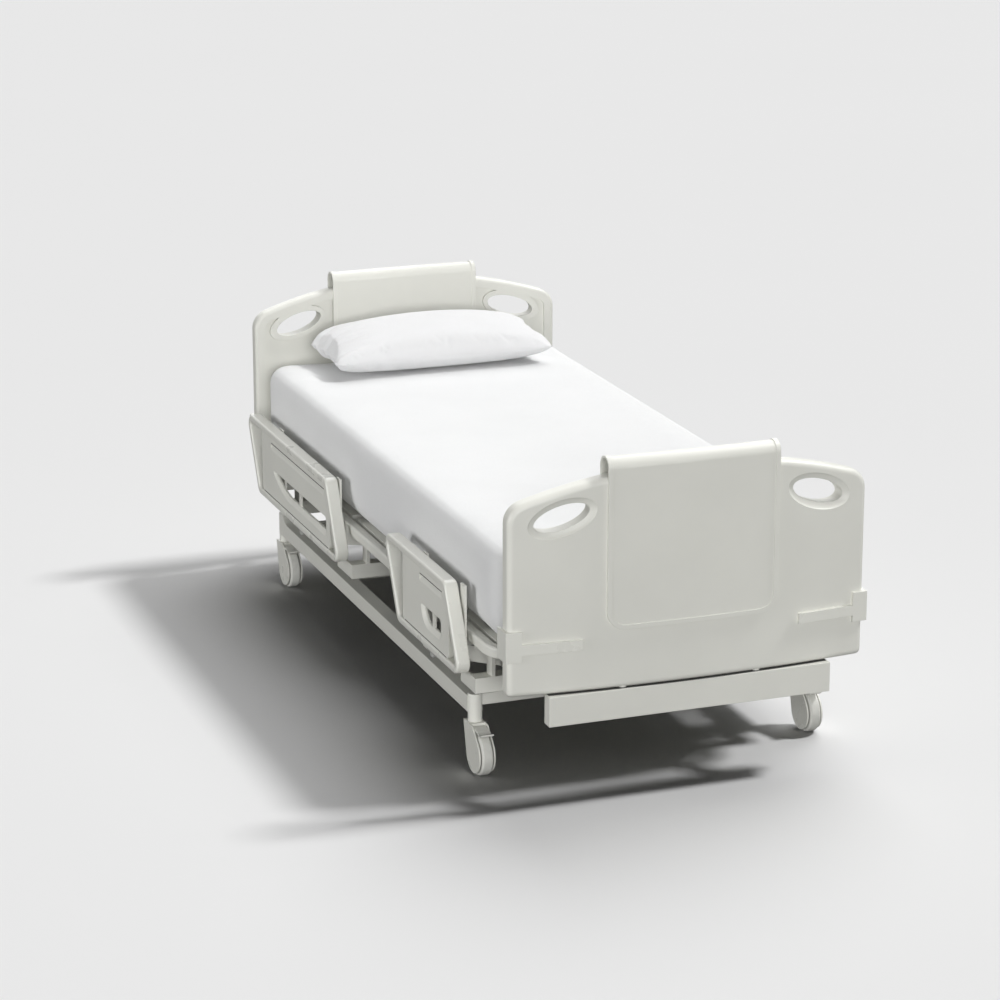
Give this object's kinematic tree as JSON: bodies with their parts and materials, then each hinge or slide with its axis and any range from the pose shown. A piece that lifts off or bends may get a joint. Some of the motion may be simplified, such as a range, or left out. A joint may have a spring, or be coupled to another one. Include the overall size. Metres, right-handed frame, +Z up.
{
  "type": "adjustable hospital bed",
  "caption": "Electric hospital bed on castors: lifting base, profiling platform with mattress and pillow, end boards and drop side rails.",
  "frame": {"origin": "on the floor under the middle of the bed", "axes": "+Y towards the head end, +X to the right seen from the foot end, +Z up"},
  "size_m": [1.06, 2.256, 0.8805],
  "materials": {
    "frame_paint": "satin powder coat",
    "panel_paint": "satin powder coat",
    "board_plastic": "fine moulded texture",
    "accent_plastic": "fine moulded texture",
    "bracket_plastic": "semi-gloss",
    "motor_plastic": "matt",
    "bright_steel": "ground",
    "mattress_cover": "woven sheet",
    "pillow_case": "woven case",
    "castor_plastic": "semi-gloss",
    "castor_tread": "light grey tread",
    "rail_paint": "semi-gloss powder coat",
    "insert_plastic": "fine moulded texture",
    "latch_plastic": "semi-gloss"
  },
  "bodies": {
    "base": {"base_side_rails": "frame_paint", "base_cross_tubes": "frame_paint", "castor_stem_tubes": "frame_paint", "lift_pivot_blocks": "frame_paint", "lift_motor": "motor_plastic"},
    "head_arms": {"head_lift_arms": "frame_paint"},
    "foot_arms": {"foot_lift_arms": "frame_paint"},
    "lift_rod": {"lift_rod": "bright_steel"},
    "deck": {"deck_frame": "frame_paint", "deck_cross_members": "frame_paint", "foot_end_beam": "frame_paint", "head_end_beam": "frame_paint", "foot_rail_carriers": "frame_paint", "head_rail_carriers": "frame_paint", "seat_panel": "panel_paint", "mattress_seat": "mattress_cover", "back_motor": "motor_plastic", "knee_motor": "motor_plastic", "control_box": "motor_plastic", "hinge_pins": "bright_steel"},
    "backrest": {"back_panel": "panel_paint", "mattress_back": "mattress_cover", "pillow": "pillow_case"},
    "back_rod": {"back_rod": "bright_steel"},
    "thigh_rest": {"thigh_panel": "panel_paint", "mattress_thigh": "mattress_cover"},
    "knee_rod": {"knee_rod": "bright_steel"},
    "calf_rest": {"calf_panel": "panel_paint", "mattress_calf": "mattress_cover"},
    "foot_end_board": {"foot_board": "board_plastic", "foot_accent_panel": "accent_plastic", "foot_board_brackets": "bracket_plastic"},
    "head_end_board": {"head_board": "board_plastic", "head_accent_panel": "accent_plastic", "head_board_brackets": "bracket_plastic"},
    "rail_foot_left": {"rail_frame_foot_left": "rail_paint", "rail_insert_foot_left": "insert_plastic"},
    "latch_foot_left": {"rail_latch_foot_left": "latch_plastic"},
    "rail_foot_right": {"rail_frame_foot_right": "rail_paint", "rail_insert_foot_right": "insert_plastic"},
    "latch_foot_right": {"rail_latch_foot_right": "latch_plastic"},
    "rail_head_left": {"rail_frame_head_left": "rail_paint", "rail_insert_head_left": "insert_plastic"},
    "latch_head_left": {"rail_latch_head_left": "latch_plastic"},
    "rail_head_right": {"rail_frame_head_right": "rail_paint", "rail_insert_head_right": "insert_plastic"},
    "latch_head_right": {"rail_latch_head_right": "latch_plastic"},
    "castor_foot_left": {"castor_fork_foot_left": "castor_plastic"},
    "wheel_foot_left": {"castor_wheel_foot_left": "castor_tread"},
    "pedal_foot_left": {"castor_pedal_foot_left": "castor_plastic"},
    "castor_foot_right": {"castor_fork_foot_right": "castor_plastic"},
    "wheel_foot_right": {"castor_wheel_foot_right": "castor_tread"},
    "pedal_foot_right": {"castor_pedal_foot_right": "castor_plastic"},
    "castor_head_left": {"castor_fork_head_left": "castor_plastic"},
    "wheel_head_left": {"castor_wheel_head_left": "castor_tread"},
    "pedal_head_left": {"castor_pedal_head_left": "castor_plastic"},
    "castor_head_right": {"castor_fork_head_right": "castor_plastic"},
    "wheel_head_right": {"castor_wheel_head_right": "castor_tread"},
    "pedal_head_right": {"castor_pedal_head_right": "castor_plastic"}
  },
  "joints": [
    {"name": "bed_lift", "type": "hinge", "parent": "base", "child": "head_arms", "pos_m": [0, 0.7, 0.175], "axis": [-1, 0, 0], "range_deg": [0, 55]},
    {"name": "deck_pivot", "type": "hinge", "parent": "head_arms", "child": "deck", "pos_m": [0, 0.29431, 0.2837], "axis": [-1, 0, 0], "range_deg": [-55, 0]},
    {"name": "foot_arm_pivot", "type": "hinge", "parent": "base", "child": "foot_arms", "pos_m": [0, -0.4, 0.175], "axis": [-1, 0, 0], "range_deg": [0, 55]},
    {"name": "lift_stroke", "type": "slide", "parent": "base", "child": "lift_rod", "axis": [0, 1, 0], "range_m": [0, 0.0878]},
    {"name": "back_hinge", "type": "hinge", "parent": "deck", "child": "backrest", "pos_m": [0, 0.22, 0.362], "axis": [1, 0, 0], "range_deg": [0, 65]},
    {"name": "back_stroke", "type": "slide", "parent": "deck", "child": "back_rod", "axis": [0, 1, 0], "range_m": [0, 0.1022]},
    {"name": "knee_hinge", "type": "hinge", "parent": "deck", "child": "thigh_rest", "pos_m": [0, -0.06, 0.362], "axis": [-1, 0, 0], "range_deg": [0, 35]},
    {"name": "knee_stroke", "type": "slide", "parent": "deck", "child": "knee_rod", "axis": [0, -1, 0], "range_m": [0, 0.0572]},
    {"name": "calf_hinge", "type": "hinge", "parent": "thigh_rest", "child": "calf_rest", "pos_m": [0, -0.38, 0.362], "axis": [-1, 0, 0], "range_deg": [-51.7, 0]},
    {"name": "foot_board_lift_off", "type": "slide", "parent": "deck", "child": "foot_end_board", "axis": [0, 0, 1], "range_m": [0, 0.15]},
    {"name": "rail_raise_foot_left", "type": "slide", "parent": "deck", "child": "rail_foot_left", "axis": [0, 0, 1], "range_m": [0, 0.175]},
    {"name": "rail_latch_foot_left", "type": "slide", "parent": "rail_foot_left", "child": "latch_foot_left", "axis": [0, 1, 0], "range_m": [0, 0.01], "stiffness_N_per_m": 300},
    {"name": "rail_raise_foot_right", "type": "slide", "parent": "deck", "child": "rail_foot_right", "axis": [0, 0, 1], "range_m": [0, 0.175]},
    {"name": "rail_latch_foot_right", "type": "slide", "parent": "rail_foot_right", "child": "latch_foot_right", "axis": [0, 1, 0], "range_m": [0, 0.01], "stiffness_N_per_m": 300},
    {"name": "head_board_lift_off", "type": "slide", "parent": "deck", "child": "head_end_board", "axis": [0, 0, 1], "range_m": [0, 0.15]},
    {"name": "rail_raise_head_left", "type": "slide", "parent": "deck", "child": "rail_head_left", "axis": [0, 0, 1], "range_m": [0, 0.175]},
    {"name": "rail_latch_head_left", "type": "slide", "parent": "rail_head_left", "child": "latch_head_left", "axis": [0, 1, 0], "range_m": [0, 0.01], "stiffness_N_per_m": 300},
    {"name": "rail_raise_head_right", "type": "slide", "parent": "deck", "child": "rail_head_right", "axis": [0, 0, 1], "range_m": [0, 0.175]},
    {"name": "rail_latch_head_right", "type": "slide", "parent": "rail_head_right", "child": "latch_head_right", "axis": [0, 1, 0], "range_m": [0, 0.01], "stiffness_N_per_m": 300},
    {"name": "castor_swivel_foot_left", "type": "hinge", "parent": "base", "child": "castor_foot_left", "pos_m": [-0.455, -0.798, 0.16], "axis": [0, 0, 1], "continuous": true},
    {"name": "wheel_spin_foot_left", "type": "hinge", "parent": "castor_foot_left", "child": "wheel_foot_left", "pos_m": [-0.455, -0.841, 0.056], "axis": [1, 0, 0], "continuous": true},
    {"name": "pedal_press_foot_left", "type": "hinge", "parent": "castor_foot_left", "child": "pedal_foot_left", "pos_m": [-0.455, -0.831, 0.119], "axis": [-1, 0, 0], "range_deg": [0, 25]},
    {"name": "castor_swivel_foot_right", "type": "hinge", "parent": "base", "child": "castor_foot_right", "pos_m": [0.455, -0.798, 0.16], "axis": [0, 0, 1], "continuous": true},
    {"name": "wheel_spin_foot_right", "type": "hinge", "parent": "castor_foot_right", "child": "wheel_foot_right", "pos_m": [0.455, -0.841, 0.056], "axis": [1, 0, 0], "continuous": true},
    {"name": "pedal_press_foot_right", "type": "hinge", "parent": "castor_foot_right", "child": "pedal_foot_right", "pos_m": [0.455, -0.831, 0.119], "axis": [-1, 0, 0], "range_deg": [0, 25]},
    {"name": "castor_swivel_head_left", "type": "hinge", "parent": "base", "child": "castor_head_left", "pos_m": [-0.455, 0.85, 0.16], "axis": [0, 0, 1], "continuous": true},
    {"name": "wheel_spin_head_left", "type": "hinge", "parent": "castor_head_left", "child": "wheel_head_left", "pos_m": [-0.455, 0.807, 0.056], "axis": [1, 0, 0], "continuous": true},
    {"name": "pedal_press_head_left", "type": "hinge", "parent": "castor_head_left", "child": "pedal_head_left", "pos_m": [-0.455, 0.817, 0.119], "axis": [-1, 0, 0], "range_deg": [0, 25]},
    {"name": "castor_swivel_head_right", "type": "hinge", "parent": "base", "child": "castor_head_right", "pos_m": [0.455, 0.85, 0.16], "axis": [0, 0, 1], "continuous": true},
    {"name": "wheel_spin_head_right", "type": "hinge", "parent": "castor_head_right", "child": "wheel_head_right", "pos_m": [0.455, 0.807, 0.056], "axis": [1, 0, 0], "continuous": true},
    {"name": "pedal_press_head_right", "type": "hinge", "parent": "castor_head_right", "child": "pedal_head_right", "pos_m": [0.455, 0.817, 0.119], "axis": [-1, 0, 0], "range_deg": [0, 25]}
  ],
  "couplings": [
    {"joint": "deck_pivot", "follows": "bed_lift", "ratio": -1},
    {"joint": "foot_arm_pivot", "follows": "bed_lift", "ratio": 1},
    {"joint": "lift_stroke", "follows": "bed_lift", "m_per_rad": 0.091394},
    {"joint": "back_stroke", "follows": "back_hinge", "m_per_rad": 0.089987},
    {"joint": "knee_stroke", "follows": "knee_hinge", "m_per_rad": 0.09353},
    {"joint": "calf_hinge", "follows": "knee_hinge", "ratio": -1.475}
  ]
}
